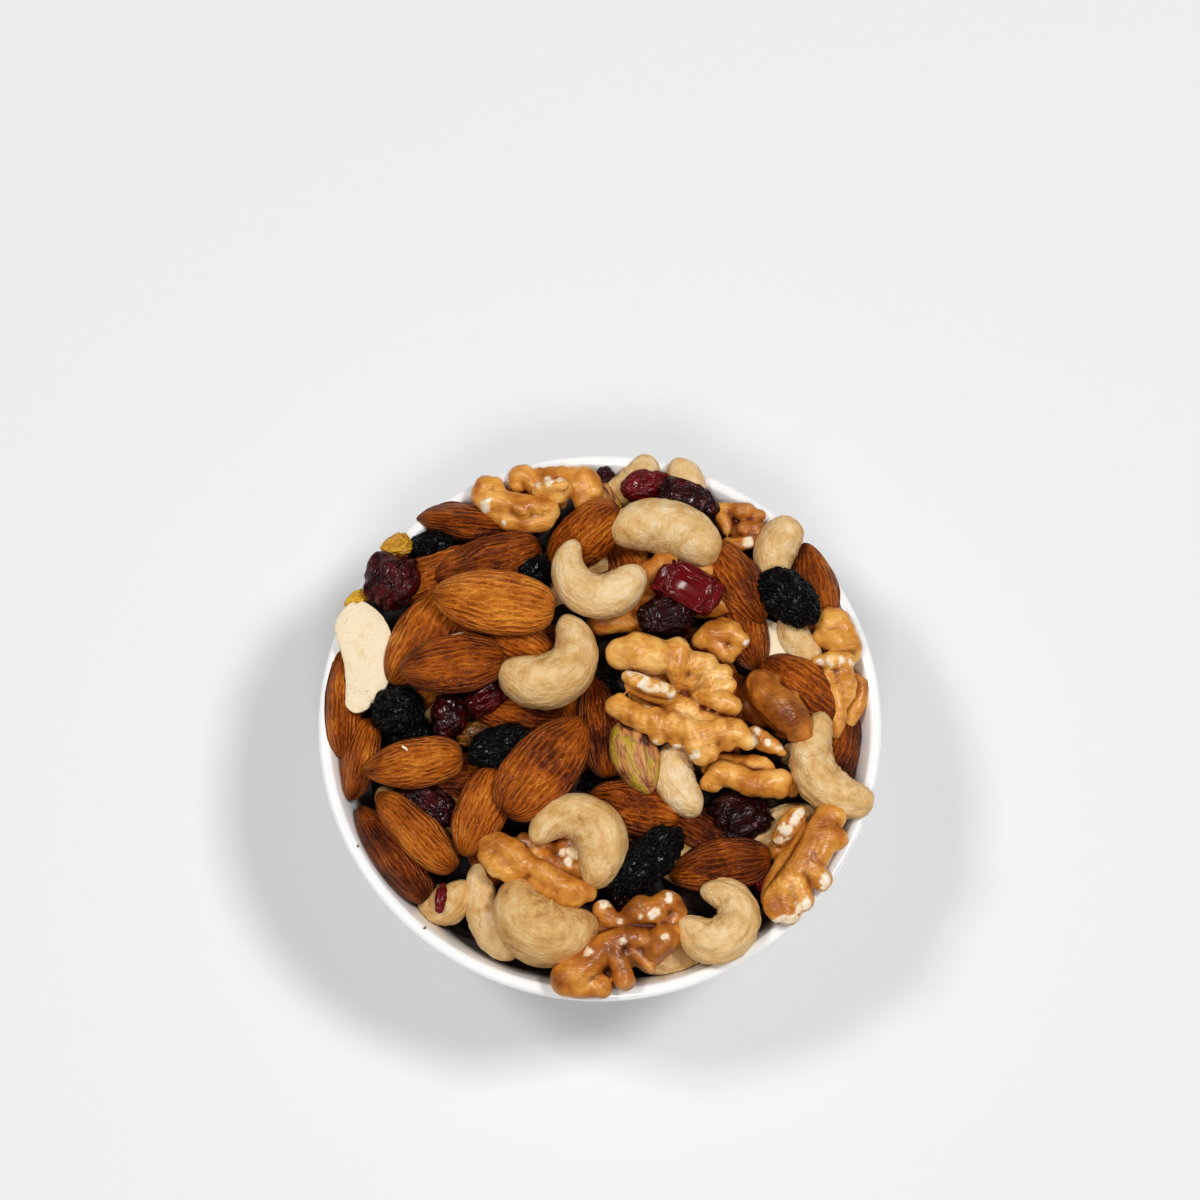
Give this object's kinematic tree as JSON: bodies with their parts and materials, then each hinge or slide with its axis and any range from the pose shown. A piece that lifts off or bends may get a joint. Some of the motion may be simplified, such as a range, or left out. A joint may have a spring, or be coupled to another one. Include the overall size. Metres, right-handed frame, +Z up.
{
  "type": "bowl of mixed nuts",
  "caption": "Small round glazed porcelain bowl heaped above its rim with mixed whole nuts, kernel halves and dried berries.",
  "frame": {"origin": "centre of the bowl's foot ring, on the plane it stands on", "axes": "+Z up through the bowl's middle, front at -Y, +X to the right"},
  "size_m": [0.12, 0.12, 0.0668],
  "materials": {
    "porcelain": "clear gloss glaze over plain white porcelain",
    "nuts": "dry matt to satin kernel skins, with glossy dried berries between them"
  },
  "bodies": {
    "root": {"bowl": "porcelain", "mixed_nuts": "nuts"}
  },
  "joints": []
}
